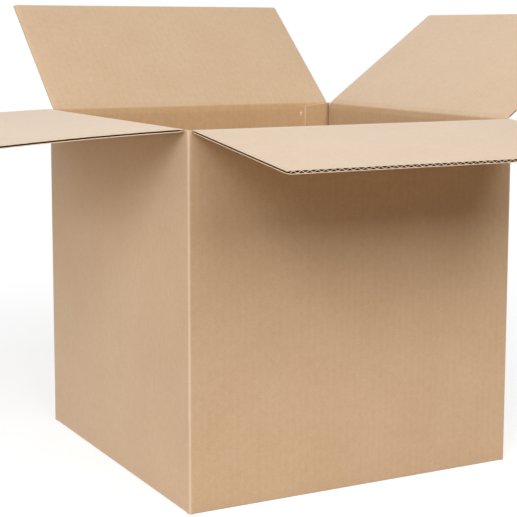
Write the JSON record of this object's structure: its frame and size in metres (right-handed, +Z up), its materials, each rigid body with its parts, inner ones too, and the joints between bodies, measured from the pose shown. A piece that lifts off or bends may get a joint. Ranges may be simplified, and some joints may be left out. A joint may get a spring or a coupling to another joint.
{
  "type": "open cardboard box",
  "caption": "Upright open-topped corrugated cardboard box whose top flaps fold out and close on their creases, for packing and shipping goods.",
  "frame": {"origin": "middle of the box's base, on the floor", "axes": "+Z up, -Y out of the front wall, -X out of the left wall"},
  "size_m": [0.5792, 0.566, 0.3995],
  "materials": {
    "corrugated_board": "matte",
    "kraft_paper": "matte"
  },
  "bodies": {
    "carton": {"carton": "corrugated_board"},
    "front_flap": {"front_flap": "kraft_paper"},
    "back_flap": {"back_flap": "kraft_paper"},
    "left_flap": {"left_flap": "kraft_paper"},
    "right_flap": {"right_flap": "kraft_paper"}
  },
  "joints": [
    {"name": "front_flap_crease", "type": "hinge", "parent": "carton", "child": "front_flap", "pos_m": [0, -0.1514, 0.3001], "axis": [1, 0, 0], "range_deg": [-187, 48]},
    {"name": "back_flap_crease", "type": "hinge", "parent": "carton", "child": "back_flap", "pos_m": [0, 0.1514, 0.3001], "axis": [-1, 0, 0], "range_deg": [-139, 96]},
    {"name": "left_flap_crease", "type": "hinge", "parent": "carton", "child": "left_flap", "pos_m": [-0.153, 0, 0.2985], "axis": [0, -1, 0], "range_deg": [-183, 52]},
    {"name": "right_flap_crease", "type": "hinge", "parent": "carton", "child": "right_flap", "pos_m": [0.153, 0, 0.2985], "axis": [0, 1, 0], "range_deg": [-143.5, 91.5]}
  ]
}
